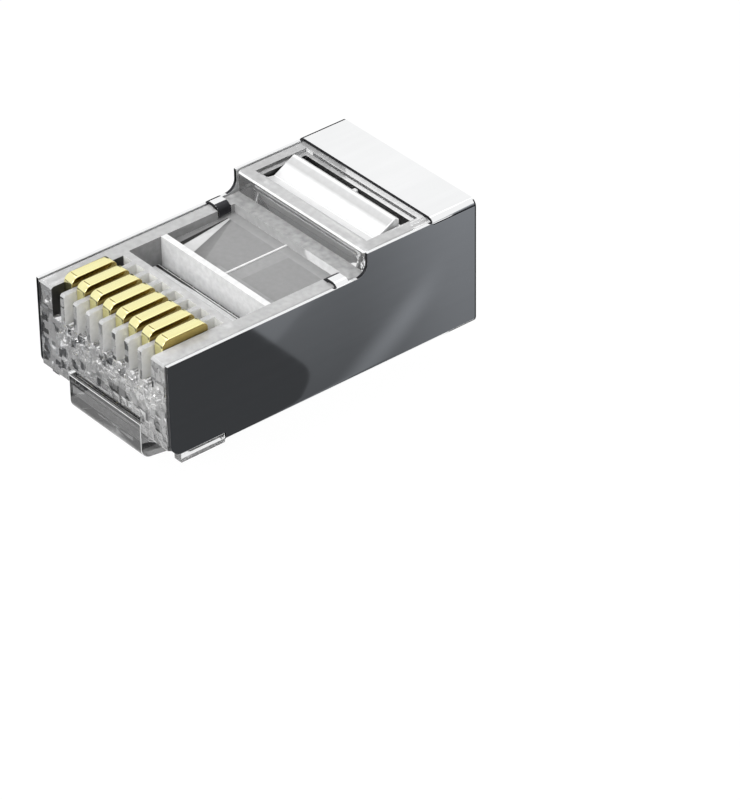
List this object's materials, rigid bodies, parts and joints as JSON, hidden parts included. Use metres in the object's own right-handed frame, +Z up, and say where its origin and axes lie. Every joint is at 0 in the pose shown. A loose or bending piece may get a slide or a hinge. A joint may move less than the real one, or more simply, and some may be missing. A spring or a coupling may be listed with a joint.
{
  "type": "rj45 modular plug",
  "caption": "Shielded modular plug with clear housing, folded metal shield, blade contacts, crimp clamp bars and a sprung latch, before crimping.",
  "frame": {"origin": "middle of the nose face, at the level of the shield's underside", "axes": "X across the plug with contact 1 at +X, Y from the nose to the cable entry, Z up with the contacts on top and the latch below"},
  "size_m": [0.0116, 0.0217, 0.011],
  "materials": {
    "clear_plastic": "clear polished",
    "nickel_sheet": "bright plated",
    "gold_plating": "plated"
  },
  "bodies": {
    "plug": {"housing": "clear_plastic", "shield": "nickel_sheet", "wire_guide": "clear_plastic"},
    "latch": {"latch": "clear_plastic"},
    "jacket_clamp": {"jacket_clamp": "clear_plastic"},
    "conductor_clamp": {"conductor_clamp": "clear_plastic"},
    "contact_1": {"contact_1": "gold_plating"},
    "contact_2": {"contact_2": "gold_plating"},
    "contact_3": {"contact_3": "gold_plating"},
    "contact_4": {"contact_4": "gold_plating"},
    "contact_5": {"contact_5": "gold_plating"},
    "contact_6": {"contact_6": "gold_plating"},
    "contact_7": {"contact_7": "gold_plating"},
    "contact_8": {"contact_8": "gold_plating"}
  },
  "joints": [
    {"name": "latch_press", "type": "hinge", "parent": "plug", "child": "latch", "pos_m": [0, 0.0008, 0.0011], "axis": [1, 0, 0], "range_deg": [0, 8.2], "stiffness_Nm_per_rad": 0.08},
    {"name": "jacket_clamp_press", "type": "hinge", "parent": "plug", "child": "jacket_clamp", "pos_m": [0, 0.015, 0.00725], "axis": [-1, 0, 0], "range_deg": [0, 28]},
    {"name": "conductor_clamp_press", "type": "slide", "parent": "plug", "child": "conductor_clamp", "axis": [0, 0, -1], "range_m": [0, 0.0005]},
    {"name": "contact_1_crimp", "type": "slide", "parent": "plug", "child": "contact_1", "axis": [0, 0, -1], "range_m": [0, 0.00108]},
    {"name": "contact_2_crimp", "type": "slide", "parent": "plug", "child": "contact_2", "axis": [0, 0, -1], "range_m": [0, 0.00108]},
    {"name": "contact_3_crimp", "type": "slide", "parent": "plug", "child": "contact_3", "axis": [0, 0, -1], "range_m": [0, 0.00108]},
    {"name": "contact_4_crimp", "type": "slide", "parent": "plug", "child": "contact_4", "axis": [0, 0, -1], "range_m": [0, 0.00108]},
    {"name": "contact_5_crimp", "type": "slide", "parent": "plug", "child": "contact_5", "axis": [0, 0, -1], "range_m": [0, 0.00108]},
    {"name": "contact_6_crimp", "type": "slide", "parent": "plug", "child": "contact_6", "axis": [0, 0, -1], "range_m": [0, 0.00108]},
    {"name": "contact_7_crimp", "type": "slide", "parent": "plug", "child": "contact_7", "axis": [0, 0, -1], "range_m": [0, 0.00108]},
    {"name": "contact_8_crimp", "type": "slide", "parent": "plug", "child": "contact_8", "axis": [0, 0, -1], "range_m": [0, 0.00108]}
  ]
}
